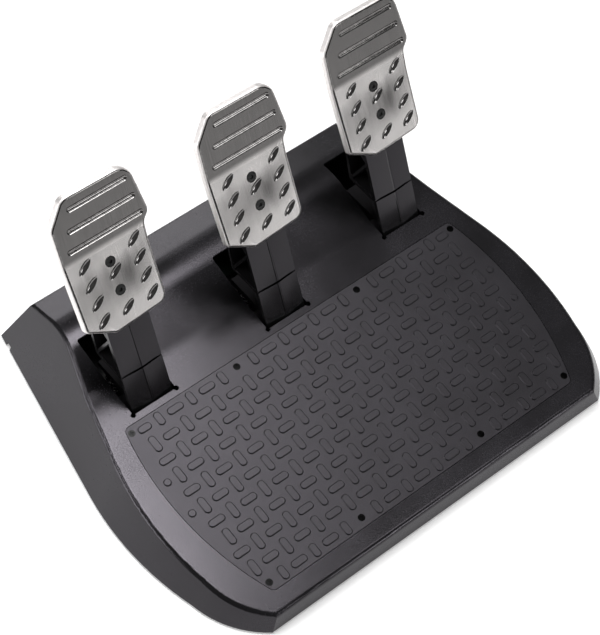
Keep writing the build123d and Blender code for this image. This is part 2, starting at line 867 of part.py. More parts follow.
def make_pedal(name, x, y, side):
    """All the pieces of one pedal, its bracket and its sensor."""
    foot = foot_plane(x, y)
    pivot = pivot_plane(x, y)
    pad_plane = pad_plane_at(foot)
    pad_top = pad_plane_at(foot, bend_at, pad_bend)
    pivot_y = pivot.origin.Y
    base_top = pivot.origin.Z - bracket_top_drop

    with BuildPart() as bracket:
        middle_x = x + side * (bracket_side - bracket_plain) / 2
        middle_y = pivot_y + (bracket_rear - bracket_front) / 2
        span_x = bracket_side + bracket_plain
        span_y = bracket_front + bracket_rear
        with BuildSketch(Plane.XY.offset(floor_top)):
            with Locations((middle_x, middle_y)):
                RectangleRounded(span_x, span_y, bracket_screw_inset)
        extrude(amount=base_top - floor_top)
        with BuildSketch(Plane.XY.offset(base_top)):
            with Locations(*bracket_screw_spots(x, y, side)):
                Circle(boss_radius)
        extrude(amount=bracket_boss)
        with BuildSketch(Plane.XY.offset(base_top)):
            with Locations((x, pivot_y + spring_back)):
                Circle(spring_boss_radius)
        extrude(amount=spring_boss)
        for start in (ear_inner, -ear_outer):
            with BuildSketch(pivot.offset(start)):
                with BuildLine():
                    Polyline(
                        (-ear_half, -bracket_top_drop), (-ear_radius, 0), (ear_radius, 0),
                        (ear_half, -bracket_top_drop), close=True,
                    )
                make_face()
                Circle(ear_radius)
            extrude(amount=ear_thickness)
        with BuildSketch(pivot.offset(side * wall_inner)):
            with Locations((centre_distance, (sensor_wall_top - bracket_top_drop) / 2)):
                Rectangle(2 * sensor_wall_half, sensor_wall_top + bracket_top_drop)
        extrude(amount=side * sensor_wall)
        with BuildSketch(pivot.offset(-ear_outer)):
            Circle(bush_radius + press_gap)
        extrude(amount=2 * ear_outer, mode=Mode.SUBTRACT)
        with BuildSketch(pivot.offset(side * wall_inner)):
            with Locations((centre_distance, 0)):
                Circle(sensor_neck_radius + press_gap)
        extrude(amount=side * sensor_wall, mode=Mode.SUBTRACT)
        with BuildSketch(Plane.XY.offset(base_top + bracket_boss)):
            with Locations(*bracket_screw_spots(x, y, side)):
                Circle(screw_radius)
        extrude(amount=-overrun, mode=Mode.SUBTRACT)
    keep(bracket, f"{name}_bracket")

    with BuildPart() as bushes:
        for hand in (1, -1):
            with BuildSketch(pivot.offset(hand * ear_outer)):
                Circle(bush_radius)
            extrude(amount=-hand * ear_thickness)
            with BuildSketch(pivot.offset(hand * ear_inner)):
                Circle(bush_flange_radius)
            extrude(amount=-hand * bush_flange)
        with BuildSketch(pivot.offset(-ear_outer)):
            Circle(axle_radius + running_gap)
        extrude(amount=2 * ear_outer, mode=Mode.SUBTRACT)
    keep(bushes, f"{name}_bushes")

    clip_start = ear_outer + clip_gap
    clip_end = clip_start + clip_thickness
    with BuildPart() as axle:
        with BuildSketch(pivot.offset(-side * (clip_end + clip_thickness))):
            Circle(axle_radius)
        extrude(amount=side * (clip_end + clip_thickness + gear_outer))
        with BuildSketch(pivot.offset(-side * clip_end)):
            Circle(axle_radius + clip_gap)
            Circle(axle_radius - clip_thickness / 2, mode=Mode.SUBTRACT)
        extrude(amount=side * clip_thickness, mode=Mode.SUBTRACT)
        chamfer(axle.edges().filter_by(GeomType.CIRCLE).group_by(Axis.X)[-1], length=clip_gap)
    keep(axle, f"{name}_axle")

    with BuildPart() as axle_clip:
        with BuildSketch(pivot.offset(-side * (clip_end - press_gap))):
            Circle(clip_radius)
            Circle(axle_radius - clip_thickness / 2 + press_gap, mode=Mode.SUBTRACT)
            with Locations((0, -clip_radius)):
                Rectangle(axle_radius, 2 * clip_radius, mode=Mode.SUBTRACT)
        extrude(amount=side * (clip_thickness - 2 * press_gap))
    keep(axle_clip, f"{name}_axle_clip")

    with BuildPart() as bumpers:
        swing = radians(travel)
        low_front = -toe_half * cos(swing) - toe_length * sin(swing)
        low_drop = toe_half * sin(swing) - toe_length * cos(swing)
        top_y = low_front + (-bumper_drop - low_drop) * tan(swing) - bumper_gap
        bottom_y = low_front + (-bracket_top_drop - low_drop) * tan(swing) - bumper_gap
        with BuildSketch(pivot):
            with BuildLine():
                Polyline(
                    (bottom_y - bumper_length, -bracket_top_drop), (bottom_y, -bracket_top_drop),
                    (top_y, -bumper_drop), (bottom_y - bumper_length, -bumper_drop), close=True,
                )
            make_face()
            with Locations((toe_half + bumper_gap, -bracket_top_drop)):
                Rectangle(bumper_length, bracket_top_drop - bumper_drop, align=Align.MIN)
        extrude(amount=bumper_width / 2, both=True)
    keep(bumpers, f"{name}_bumpers")

    spring_top = bracket_top_drop + tail_under
    coil_radius = spring_radius - spring_wire / 2
    coil_pitch = (spring_top - spring_gap + spring_wire) / spring_turns
    spring_foot = Vector(x, pivot_y + spring_back, base_top)
    path = coil_path(spring_foot - Vector(0, 0, spring_wire / 2), coil_radius, coil_pitch, spring_turns)
    with BuildPart() as spring:
        with BuildSketch(Plane(origin=path @ 0, z_dir=path % 0)):
            Circle(spring_wire / 2)
        sweep(path=path)
        with BuildSketch(Plane.XY.offset(base_top)):
            with Locations((x, pivot_y + spring_back)):
                Circle(spring_radius + spring_wire)
        extrude(amount=spring_top - spring_gap, mode=Mode.INTERSECT)
    keep(spring, f"{name}_return_spring")

    with BuildPart() as sensor:
        with BuildSketch(pivot.offset(side * wall_outer)):
            with Locations((centre_distance, 0)):
                Circle(sensor_radius)
        extrude(amount=side * sensor_length)
        with BuildSketch(pivot.offset(side * wall_inner)):
            with Locations((centre_distance, 0)):
                Circle(sensor_neck_radius)
        extrude(amount=side * sensor_wall)
        with BuildSketch(Plane.XZ.offset(-pivot_y - centre_distance - sensor_radius - terminal_length)):
            with Locations((x + side * (wall_outer + sensor_length / 2), pivot.origin.Z)):
                Rectangle(terminal_width, terminal_height)
        extrude(amount=sensor_radius / 2 + terminal_length)
        with BuildSketch(pivot.offset(side * wall_inner)):
            with Locations((centre_distance, 0)):
                Circle(axle_radius + running_gap)
        extrude(amount=side * (sensor_wall + shaft_reach), mode=Mode.SUBTRACT)
    keep(sensor, f"{name}_sensor")

    with BuildPart() as pinion:
        points = []
        for tooth in range(pinion_teeth):
            points += tooth_points(pinion_teeth, 2 * pi * (tooth + 0.5) / pinion_teeth + pi)
        with BuildSketch(pivot.offset(side * gear_inner)):
            with BuildLine():
                Polyline(*[(centre_distance + y_in, z_in) for y_in, z_in in points], close=True)
            make_face()
        extrude(amount=side * gear_width)
        with BuildSketch(pivot.offset(side * gear_outer)):
            with Locations((centre_distance, 0)):
                Circle(axle_radius)
        extrude(amount=side * (wall_outer - gear_outer + shaft_reach - sensor_wall_gap))
    keep(pinion, f"{name}_pinion")

    with BuildPart() as sector_gear:
        points = []
        for tooth in range(-sector_teeth_below, sector_teeth_above + 1):
            points += tooth_points(gear_teeth, 2 * pi * tooth / gear_teeth)
        with BuildSketch(pivot.offset(side * gear_inner)):
            with BuildLine():
                Polyline((0, 0), *points, close=True)
            make_face()
            Circle(gear_hub_radius)
            Circle(axle_radius + press_gap, mode=Mode.SUBTRACT)
        extrude(amount=side * gear_width)
    keep(sector_gear, f"{name}_sector_gear")

    half_arm = arm_width / 2
    with BuildPart() as arm:
        with BuildSketch(foot) as body_side:
            with BuildLine():
                Polyline(*body_points, close=True)
            make_face()
            fillet(body_side.vertices().sort_by_distance(body_points[2])[0], radius=body_round)
            fillet(body_side.vertices().sort_by_distance(body_points[3])[0], radius=body_round)
        extrude(amount=half_arm, both=True)
        with BuildSketch(foot) as pocket:
            with BuildLine():
                Polyline(*body_points, close=True)
            make_face()
            offset(amount=-flange, kind=Kind.INTERSECTION)
            with BuildLine() as zigzag:
                Polyline(rear_marks[0], front_marks[0], rear_marks[1], front_marks[1], rear_marks[2])
            trace(zigzag.line, line_width=rib, mode=Mode.SUBTRACT)
        for hand in (1, -1):
            with BuildSketch(foot.offset(hand * web / 2)):
                add(pocket.sketch_local)
            extrude(amount=hand * half_arm, mode=Mode.SUBTRACT)
        # Front flange with its crown
        with BuildSketch(Plane(
            origin=foot.from_local_coords((*front_point(-flange_below), 0)),
            x_dir=(1, 0, 0),
            z_dir=foot.x_dir * cos(radians(arm_rake)) + foot.y_dir * sin(radians(arm_rake)),
        )):
            with BuildLine():
                Polyline(
                    (-half_arm, 0), (0, -crown), (half_arm, 0),
                    (half_arm, front_flange), (-half_arm, front_flange), close=True,
                )
            make_face()
        extrude(amount=flange_below + head_meet - crown * 2)
        # Stem, tail, toe and hub
        with BuildSketch(foot):
            with BuildLine():
                Polyline(
                    front_point(-flange_below, flange / 2), front_point(body_start + flange, flange / 2),
                    (pivot_back + 2 * hub_radius, body_start - flange),
                    (pivot_back + hub_radius, -pivot_drop),
                    (pivot_back - hub_radius, -pivot_drop), close=True,
                )
            make_face()
        extrude(amount=stem_width / 2, both=True)
        with BuildSketch(foot):
            with Locations((front_clear - slot_front_gap, 0)):
                Rectangle(overrun, overrun, align=Align.MAX)
        extrude(amount=half_arm, both=True, mode=Mode.SUBTRACT)
        tail_top = tail_under + tail_thick
        with BuildSketch(pivot):
            with BuildLine():
                Polyline(
                    (0, tail_top), (tail_length, tail_top), (tail_length, tail_under),
                    (2 * hub_radius, tail_under), (hub_radius, -tail_under), (0, -tail_under), close=True,
                )
            make_face()
            with Locations((0, -toe_length / 2)):
                Rectangle(2 * toe_half, toe_length)
        extrude(amount=stem_width / 2, both=True)
        with BuildSketch(pivot):
            Circle(hub_radius)
        extrude(amount=half_arm, both=True)
        with BuildSketch(Plane.XY.offset(pivot.origin.Z + tail_under)):
            with Locations((x, pivot_y + spring_back)):
                Circle(spring_boss_radius - flange / 2)
        extrude(amount=-spring_boss / 2)
        # Bosses and holes for the pad screws
        with BuildSketch(pad_plane.offset(-mount_depth)):
            with Locations((0, 0), (0, pad_screw_gap)):
                Circle(pad_boss_radius)
        extrude(amount=-pad_screw_length + support_thickness)
        with BuildSketch(pad_plane):
            with Locations((0, 0), (0, pad_screw_gap)):
                Circle(pad_screw_radius)
        extrude(amount=-pad_screw_length - flange, mode=Mode.SUBTRACT)
        with BuildSketch(pivot):
            Circle(axle_radius + press_gap)
        extrude(amount=arm_width, both=True, mode=Mode.SUBTRACT)
        # Moulded groove across the front
        with BuildSketch(foot):
            with BuildLine():
                Polyline(
                    front_point(groove_at, -overrun), front_point(groove_at + groove_width, -overrun),
                    front_point(groove_at + groove_width, groove_depth), front_point(groove_at, groove_depth),
                    close=True,
                )
            make_face()
        extrude(amount=half_arm, both=True, mode=Mode.SUBTRACT)
    keep(arm, f"{name}_arm")

    with BuildPart() as pad:
        add(pad_layer(foot, 0, rim_depth, 0))
        add(pad_layer(foot, sheet, 2 * rim_depth, sheet), mode=Mode.SUBTRACT)
        with BuildSketch(pad_top):
            for left, right, up in channel_shares:
                with Locations(((left + right) / 2 * pad_half_width, up * pad_height - pad_below - bend_at)):
                    SlotOverall((right - left) * pad_half_width, channel_width)
        with BuildSketch(pad_plane):
            for column, rows in dimple_shares:
                with Locations(*[(column * pad_half_width, row * pad_height - pad_below) for row in rows]):
                    SlotOverall(dimple_length, dimple_width, rotation=dimple_turn)
        extrude(amount=-mark_depth, taper=mark_slope, mode=Mode.SUBTRACT)
        with Locations(*[pad_plane * Pos(0, up, 0) for up in (0, pad_screw_gap)]):
            CounterSinkHole(
                radius=pad_screw_radius + running_gap,
                counter_sink_radius=pad_head_radius + thread_gap,
                depth=overrun,
                counter_sink_angle=head_angle,
            )
    keep(pad, f"{name}_pad")

    with BuildPart() as support:
        add(pad_layer(foot, sheet, mount_depth, sheet + support_gap))
        with BuildSketch(pad_plane):
            with Locations((0, 0), (0, pad_screw_gap)):
                Circle(pad_screw_radius + running_gap)
        extrude(amount=-overrun, mode=Mode.SUBTRACT)
    keep(support, f"{name}_pad_support")

    pad_screws = screw_solids(
        [(0, 0), (0, pad_screw_gap)], pad_plane, pad_head_radius, pad_screw_radius - thread_gap,
        pad_screw_length, "hexagon",
    )
    keep(pad_screws, f"{name}_pad_screws")


for name, pedal_x, pedal_y, _, side in pedals:
    make_pedal(name, pedal_x, pedal_y, side)


with BuildPart() as sensor_leads:
    for name, pedal_x, pedal_y, _, side in pedals:
        pivot = pivot_plane(pedal_x, pedal_y).origin
        start_x = pedal_x + side * (wall_outer + sensor_length / 2)
        start_y = pivot.Y + centre_distance + sensor_radius + terminal_length
        end_x, end_y = lead_sockets[name]
        with BuildLine() as route:
            FilletPolyline(
                (start_x, start_y, pivot.Z), (start_x, end_y, pivot.Z), (end_x, end_y, pivot.Z),
                (end_x, end_y, board_top + socket_height / 2), radius=lead_bend,
            )
        with BuildSketch(Plane(origin=route.line @ 0, z_dir=route.line % 0)):
            Circle(lead_radius)
        sweep(path=route.line)
keep(sensor_leads, "sensor_leads")
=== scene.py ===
import json
from math import cos, radians, sin, tan

import bpy
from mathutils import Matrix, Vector

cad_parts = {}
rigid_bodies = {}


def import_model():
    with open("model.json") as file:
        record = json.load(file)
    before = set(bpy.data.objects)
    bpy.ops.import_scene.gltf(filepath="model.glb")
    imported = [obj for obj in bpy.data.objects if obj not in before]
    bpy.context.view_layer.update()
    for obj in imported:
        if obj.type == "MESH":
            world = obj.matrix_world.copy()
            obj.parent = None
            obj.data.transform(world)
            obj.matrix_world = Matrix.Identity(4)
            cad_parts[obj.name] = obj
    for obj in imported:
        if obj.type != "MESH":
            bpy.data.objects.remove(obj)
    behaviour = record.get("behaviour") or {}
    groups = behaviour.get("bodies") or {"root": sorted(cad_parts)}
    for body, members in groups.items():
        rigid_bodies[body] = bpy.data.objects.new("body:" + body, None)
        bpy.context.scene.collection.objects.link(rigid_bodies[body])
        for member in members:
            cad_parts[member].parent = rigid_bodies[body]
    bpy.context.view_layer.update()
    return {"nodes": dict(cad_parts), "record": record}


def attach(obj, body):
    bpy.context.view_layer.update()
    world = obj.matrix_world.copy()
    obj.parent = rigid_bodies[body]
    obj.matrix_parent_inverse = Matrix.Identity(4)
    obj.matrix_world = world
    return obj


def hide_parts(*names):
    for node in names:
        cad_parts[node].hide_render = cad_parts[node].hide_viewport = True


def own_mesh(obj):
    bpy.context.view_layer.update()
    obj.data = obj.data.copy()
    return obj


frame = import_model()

# Looks for the three-pedal set. Metres, in the same frame as the solids: X right, Y to the rear, Z up.

nodes = frame["nodes"]
pedals = ("clutch", "brake", "throttle")

# Camera, at the photograph's own angle
camera_data = bpy.data.cameras.new("photo_camera")
camera_data.lens = 120.4935
camera_data.sensor_width = 36
camera = bpy.data.objects.new("photo_camera", camera_data)
camera.location = (-0.56858, -0.56336, 1.20775)
camera.rotation_euler = (radians(34.66602), radians(-3.73801), radians(-39.45276))
bpy.context.scene.collection.objects.link(camera)
bpy.context.scene.camera = camera
bpy.context.scene.view_settings.view_transform = "Standard"

# Pads: the gap between the pedals, the pads' slope and the place of each pad's lower screw
pedal_gap = 0.112008
pad_tilt = radians(60)
pad_place = {
    "clutch": (-pedal_gap, 0.056282, 0.12198),
    "brake": (0.0, 0.056282, 0.12198),
    "throttle": (pedal_gap, 0.066977, 0.123483),
}
# Up the slope: the lower screw, how much higher the throttle's is, and the bend above the screw
upward_at_screw = pad_place["brake"][1] * cos(pad_tilt) + pad_place["brake"][2] * sin(pad_tilt)
throttle_rise = 0.00665
bend_at = 0.033
# The bend's own half length, and how far it turns the pad's top back
bend_half = 0.0021
bend_turn = radians(6)

# Arms: their slope, a point on their front faces, how far back the plane through it lies,
# and how much farther back the throttle's plane lies
arm_tilt = radians(65.5)
front_y, front_z = 0.022857, 0.03791
front_reach = front_y * sin(arm_tilt) - front_z * cos(arm_tilt)
throttle_setback = 0.0091

# A Mix node's sockets when it mixes colours
mix_factor, mix_first, mix_second, mix_result = 0, 6, 7, 2


class Wire:
    """A shader socket on which Python's operators add Math nodes."""

    def __init__(self, finish, socket):
        self.finish = finish
        self.socket = socket

    def math(self, operation, *values):
        return self.finish.node("ShaderNodeMath", {"operation": operation}, dict(enumerate(values)))

    def __add__(self, other):
        return self.math("ADD", self, other)

    def __radd__(self, other):
        return self.math("ADD", other, self)

    def __sub__(self, other):
        return self.math("SUBTRACT", self, other)

    def __rsub__(self, other):
        return self.math("SUBTRACT", other, self)

    def __mul__(self, other):
        return self.math("MULTIPLY", self, other)

    def __rmul__(self, other):
        return self.math("MULTIPLY", other, self)

    def __abs__(self):
        return self.math("ABSOLUTE", self)

    def clipped(self):
        """The same value kept between 0 and 1."""
        return self.math("MINIMUM", self.math("MAXIMUM", self, 0.0), 1.0)

    def step(self, low, high):
        """0 below low and 1 above high, smooth between them."""
        settings = {"interpolation_type": "SMOOTHSTEP"}
        values = {"Value": self, "From Min": low, "From Max": high}
        return self.finish.node("ShaderNodeMapRange", settings, values)


class Finish:
    """A material made of nodes, with the shader's sockets that are the same all over."""

    def __init__(self, name, sockets):
        self.material = bpy.data.materials.new(name)
        self.material.use_nodes = True
        self.tree = self.material.node_tree
        self.shader = self.tree.nodes["Principled BSDF"]
        for socket, value in sockets.items():
            self.shader.inputs[socket].default_value = value
        self.place = self.node("ShaderNodeTexCoord", output="Object")

    def node(self, kind, settings=None, values=None, output=0):
        """Adds a node, sets it and its sockets, and gives one of its outputs."""
        made = self.tree.nodes.new(kind)
        for name, value in (settings or {}).items():
            setattr(made, name, value)
        for key, value in (values or {}).items():
            if isinstance(value, Wire):
                self.tree.links.new(value.socket, made.inputs[key])
            else:
                made.inputs[key].default_value = value
        return Wire(self, made.outputs[output])

    def along(self, direction, factor=1):
        """How far a point lies along a direction, times a factor."""
        scaled = tuple(factor * part for part in direction)
        settings = {"operation": "DOT_PRODUCT"}
        return self.node("ShaderNodeVectorMath", settings, {0: self.place, 1: scaled}, "Value")

    def stretched(self, *parts):
        """A texture place from three numbers or wires."""
        return self.node("ShaderNodeCombineXYZ", values=dict(enumerate(parts)))

    def noise(self, scale, detail, rough, place=None):
        values = {"Vector": place or self.place, "Scale": scale, "Detail": detail, "Roughness": rough}
        return self.node("ShaderNodeTexNoise", values=values, output="Fac")

    def seen(self):
        """1 where the camera sees a surface itself, in a mirror or through glass."""
        ways = [
            self.node("ShaderNodeLightPath", output=name)
            for name in ("Is Camera Ray", "Is Glossy Ray", "Is Transmission Ray")
        ]
        return ways[0] + ways[1] + ways[2]

    def blend(self, factor, first, second):
        """A colour between two colours."""
        values = {mix_factor: factor, mix_first: first, mix_second: second}
        return self.node("ShaderNodeMix", {"data_type": "RGBA"}, values, mix_result)

    def feed(self, name, wire):
        """Links a wire to one of the shader's sockets."""
        self.tree.links.new(wire.socket, self.shader.inputs[name])

    def bump(self, height, distance):
        """Feeds a height to the shader's normal."""
        values = {"Height": height, "Distance": distance}
        self.feed("Normal", self.node("ShaderNodeBump", values=values))


def grey(level, blue=0.0):
    return (level, level, level + blue, 1.0)


def warm(level):
    """A grey with the faint warmth of bare steel."""
    return (level, 0.965 * level, 0.95 * level, 1.0)


def glossy(level):
    """The black plastic's gloss, which is faintly violet."""
    return {"Specular IOR Level": level, "Specular Tint": (0.96, 0.9, 1.0, 1.0)}


bare_metal = {"Metallic": 1.0}


def moulded(name, dark, pale, rough, grain, depth, gloss=None):
    """Moulded plastic or rubber: a fine grain, faint cloudy wear and uneven gloss."""
    finish = Finish(name, gloss or {})
    fine = finish.noise(grain, 3.0, 0.6)
    cloud = finish.noise(18, 4.0, 0.6)
    finish.feed("Base Color", finish.blend(cloud.step(0.35, 0.7), dark, pale))
    finish.feed("Roughness", rough + 0.16 * (cloud - 0.5) + 0.2 * (fine - 0.5))
    finish.bump(fine, depth)
    return finish.material


def steel(name, tone, rough, scratch):
    """Plain worked steel with fine scratches along X."""
    finish = Finish(name, bare_metal)
    lines = finish.noise(1.0, 2.0, 0.6, finish.stretched(
        finish.along((1, 0, 0), 60), finish.along((0, 1, 0), scratch), finish.along((0, 0, 1), scratch),
    ))
    finish.feed("Base Color", finish.blend(lines, grey(tone * 0.8), grey(tone)))
    finish.feed("Roughness", rough + 0.3 * (lines - 0.5))
    return finish.material


def plain_metal(name, low, high, rough):
    """Bare metal with fine uneven spots."""
    finish = Finish(name, bare_metal)
    spots = finish.noise(500, 3.0, 0.6)
    finish.feed("Base Color", finish.blend(spots.step(0.3, 0.7), warm(low), warm(high)))
    finish.feed("Roughness", rough + 0.12 * (spots - 0.5))
    return finish.material


def on_throttle(across):
    """1 on the throttle, and 0 on the clutch and the brake."""
    return across.step(0.05, 0.06)


def from_middle(across):
    """How far across a point lies from the middle of its own pedal."""
    return across.math("WRAP", across, pedal_gap / 2, -pedal_gap / 2)


def brushed_pad():
    """Brushed steel: fine lines up the pad, a painted highlight band below the bend, a painted lighter
    foot and painted shade on the top above the bend.
    """
    finish = Finish("brushed_pad", bare_metal)
    across = finish.along((1, 0, 0))
    upward = finish.along((0, cos(pad_tilt), sin(pad_tilt)))
    # The same pattern on each pad, from its own lower screw
    level = upward - upward_at_screw - throttle_rise * on_throttle(across)
    own = from_middle(across)
    lines = finish.noise(1.0, 3.0, 0.6, finish.stretched(across * 1400, upward * 30, 0))
    broad = finish.noise(1.0, 2.0, 0.5, finish.stretched(own * 60, level * 32, 0.4))
    below = 1 - level.step(bend_at - 0.003, bend_at + 0.003)
    painted_highlight_band = level.step(0.014, 0.029) * below
    painted_lit_foot = 0.2 - 0.3 * level.step(-0.016, 0.004)
    # A darker spot up and right of the lower screw
    spot_at, spot_width, spot_height = 0.008, 0.02, 0.024
    beside = 1 - abs(own - spot_at).step(0.0, spot_width)
    spot = beside * (1 - abs(level - spot_at).step(0.0, spot_height))
    # Tone below the bend: random mottle, a painted highlight band, a painted lighter foot and the
    # darker spot; the top above the bend gets none of it, which is painted shade
    tone_and_painted_light = 0.74 + 0.44 * painted_highlight_band + 0.7 * (broad - 0.5) + painted_lit_foot - 0.4 * spot
    lines_and_painted_light = 0.04 + below * tone_and_painted_light + 0.18 * (lines - 0.5)
    finish.feed("Base Color", finish.blend(lines_and_painted_light.clipped(), warm(0.15), warm(0.97)))
    finish.feed("Roughness", 0.24 + 0.12 * (lines - 0.5) + 0.1 * (broad - 0.5))
    finish.bump(lines, 0.00002)
    return finish.material


def polished_arm():
    """Glossy black plastic on the arms' outer faces, and a rough finish inside their side pockets."""
    finish = Finish("polished_arm", glossy(0.42))
    across = finish.along((1, 0, 0))
    backward = finish.along((0, sin(arm_tilt), -cos(arm_tilt)))
    behind_front = backward - front_reach - throttle_setback * on_throttle(across)
    aside = abs(from_middle(across))
    pocket = behind_front.step(0.0031, 0.0036) * (1 - aside.step(0.0152, 0.0156))
    cloud = finish.noise(40, 3.0, 0.6)
    finish.feed("Base Color", finish.blend(cloud.step(0.3, 0.7), grey(0.004), grey(0.008)))
    finish.feed("Roughness", 0.16 + 0.1 * (cloud - 0.5) + 0.7 * pocket)
    # Two halves that slope to a shallow crease down the middle
    crease = 1 - aside.step(0.0003, 0.0009)
    finish.bump(aside * 0.09 - 0.0003 * crease, 1.0)
    return finish.material


finishes = {
    "shell": moulded("shell", grey(0.004), grey(0.008, 0.001), 0.24, 1100, 0.00004, glossy(0.53)),
    "underside": moulded("underside", grey(0.02), grey(0.028), 0.6, 1500, 0.0001),
    "heel_plate": moulded(
        "heel_plate", grey(0.005), grey(0.009, 0.001), 0.36, 1300, 0.00008, glossy(0.49)
    ),
    "dark_screws": steel("dark_screws", 0.012, 0.2, 900),
    "feet": moulded("feet", grey(0.012), grey(0.02), 0.85, 900, 0.0001),
    "inserts": steel("inserts", 0.5, 0.3, 1200),
    "gland": moulded("gland", grey(0.012), grey(0.02), 0.7, 1200, 0.00005),
    "board": moulded("board", (0.002, 0.012, 0.006, 1), (0.003, 0.018, 0.009, 1), 0.5, 800, 0.00002),
    "sockets": moulded("sockets", (0.6, 0.58, 0.52, 1), (0.68, 0.66, 0.6, 1), 0.5, 900, 0.00002),
    "bright_screws": steel("bright_screws", 0.6, 0.3, 900),
    "leads": moulded("leads", grey(0.02), grey(0.03), 0.55, 900, 0.00002),
    "brackets": moulded("brackets", grey(0.006), grey(0.01), 0.6, 1400, 0.00006),
    "bushes": moulded("bushes", (0.6, 0.59, 0.54, 1), (0.7, 0.69, 0.64, 1), 0.4, 900, 0.00002),
    "bumpers": moulded("bumpers", grey(0.02), grey(0.03), 0.8, 900, 0.00008),
    "springs": steel("springs", 0.6, 0.25, 900),
    "sensors": moulded("sensors", grey(0.025), grey(0.035), 0.5, 900, 0.00003),
    "arms": polished_arm(),
    "pads": brushed_pad(),
    "pad_rim": plain_metal("pad_rim", 0.9, 0.99, 0.5),
    # Darker steel for the channels and dimples: painted shade in the recesses
    "pad_marks": plain_metal("pad_marks", 0.16, 0.3, 0.1),
    "pad_supports": moulded("pad_supports", grey(0.012), grey(0.018), 0.5, 1200, 0.00005),
    "pad_screws": steel("pad_screws", 0.07, 0.25, 900),
    "axles": steel("axles", 0.65, 0.2, 900),
    "gears": moulded("gears", (0.6, 0.59, 0.55, 1), (0.7, 0.69, 0.64, 1), 0.4, 900, 0.00002),
}

for part in frame["record"]["subparts"]:
    data = nodes[part["node"]].data
    data.materials.clear()
    data.materials.append(finishes[part["material_slot"]])

# Points nearer than this are merged, edges sharper than this are rounded, and faces that meet at
# less than the last angle are shaded smooth
merge_gap = 0.000002
sharp = radians(28)
smooth = radians(40)


def soften(piece, width):
    """Rounds a piece's sharp edges and evens out its shading."""
    edge = piece.modifiers.new("edge", "BEVEL")
    edge.limit_method = "ANGLE"
    edge.angle_limit = sharp
    edge.width = width
    edge.segments = 2
    piece.modifiers.new("normals", "WEIGHTED_NORMAL")


# Soft, rounded edges on the moulded and pressed pieces
rounded = {"upper_housing": 0.0006, "heel_plate": 0.00025}
for pedal in pedals:
    rounded[pedal + "_arm"] = 0.0004
    rounded[pedal + "_pad_support"] = 0.0005
for name, width in rounded.items():
    node = nodes[name]
    weld = node.modifiers.new("weld", "WELD")
    weld.merge_threshold = merge_gap
    flat = node.modifiers.new("flat", "DECIMATE")
    flat.decimate_type = "DISSOLVE"
    flat.angle_limit = radians(1)
    soften(node, width)

# Pads: pressed sheet with a turned rim, three channels above the bend and ten dimples below it.
# Corners from the lower left one against the clock: across and up from the lower screw, and radius.
pad_corners = [
    (-0.03174, -0.01532, 0.003), (-0.01208, -0.0261, 0.004), (0.02877, -0.02403, 0.007),
    (0.03002, 0.02077, 0.012), (0.03122, 0.03301, 0.007), (0.03657, 0.03933, 0.007),
    (0.03105, 0.07708, 0.012), (-0.01863, 0.0776, 0.007), (-0.03174, 0.06059, 0.007),
]
rim_depth = 0.0054
rim_rounding = 0.002
edge_rounding = 0.0003
sheet = 0.0018
pad_slots = ("pads", "pad_rim", "pad_marks")

# Channels: each one's length, and the place of its middle
channels = ((0.0452, (0.00535, 0.06868)), (0.0514, (0.00431, 0.05458)), (0.0573, (0.00345, 0.04099)))
channel_width, channel_depth = 0.0043, 0.0013

# Dimples: each column's place across, and the rows in which it has one
dimple_columns = ((-0.01742, (0, 1, 2, 3)), (0.02, (0, 1, 2, 3)), (0.00104, (0, 2)))
dimple_length, dimple_width, dimple_depth = 0.0126, 0.0052, 0.0014
dimple_turn = radians(35)
first_row, row_gap = -0.01355, 0.0134

# Screw holes, the upper one above the lower
screw_gap = 0.021
hole_radius = 0.0038

# Points this near count as in one place, and faces this far below the flat face are in a mark
near = 0.0001
sunk = 0.00002


def pick(piece, kind, wanted):
    """Selects, in edit mode, only the vertices, edges or faces that the test wants."""
    bpy.ops.object.mode_set(mode="OBJECT")
    data = piece.data
    for group in (data.vertices, data.edges, data.polygons):
        group.foreach_set("select", [False] * len(group))
    members = {"VERT": data.vertices, "EDGE": data.edges, "FACE": data.polygons}[kind]
    members.foreach_set("select", [bool(wanted(member)) for member in members])
    bpy.ops.object.mode_set(mode="EDIT")
    bpy.ops.mesh.select_mode(type=kind)


def everything(member):
    """A test for pick that wants every vertex, edge or face."""
    return True


def choose(piece):
    """Makes a piece the only one that is selected, and the active one."""
    bpy.ops.object.select_all(action="DESELECT")
    piece.select_set(True)
    bpy.context.view_layer.objects.active = piece


def copied(piece, name):
    """A copy of a piece, with its own mesh."""
    choose(piece)
    bpy.ops.object.duplicate()
    copy = bpy.context.object
    copy.name = name
    return copy


def apply_all(piece):
    """Applies a piece's modifiers, first to last."""
    choose(piece)
    for modifier in list(piece.modifiers):
        bpy.ops.object.modifier_apply(modifier=modifier.name)


def merged(pieces):
    """Joins pieces into the first of them."""
    choose(pieces[0])
    for piece in pieces:
        piece.select_set(True)
    bpy.ops.object.join()
    return pieces[0]


def settle(piece):
    """Puts a piece's place, turn and size into its mesh."""
    choose(piece)
    bpy.ops.object.transform_apply(location=True, rotation=True, scale=True)


def presser(length, width, depth, place, turn=0.0, straight=False):
    """A rounded tool that sinks a mark in the pad's flat face: an oval, or one with straight sides."""
    half = width / 2
    radius = (half * half + depth * depth) / (2 * depth)
    bpy.ops.mesh.primitive_uv_sphere_add(
        segments=20, ring_count=15, radius=radius, rotation=(0, radians(90), 0)
    )
    tool = bpy.context.object
    settle(tool)
    if straight:
        for hand in (1, -1):
            pick(tool, "VERT", lambda vertex: hand * vertex.co.x > 0)
            bpy.ops.transform.translate(value=(hand * (length - width) / 2, 0, 0))
        bpy.ops.object.mode_set(mode="OBJECT")
    else:
        tool.scale = (length / width, 1, 1)
    tool.rotation_euler = (0, 0, turn)
    tool.location = (*place, radius - depth)
    settle(tool)
    return tool


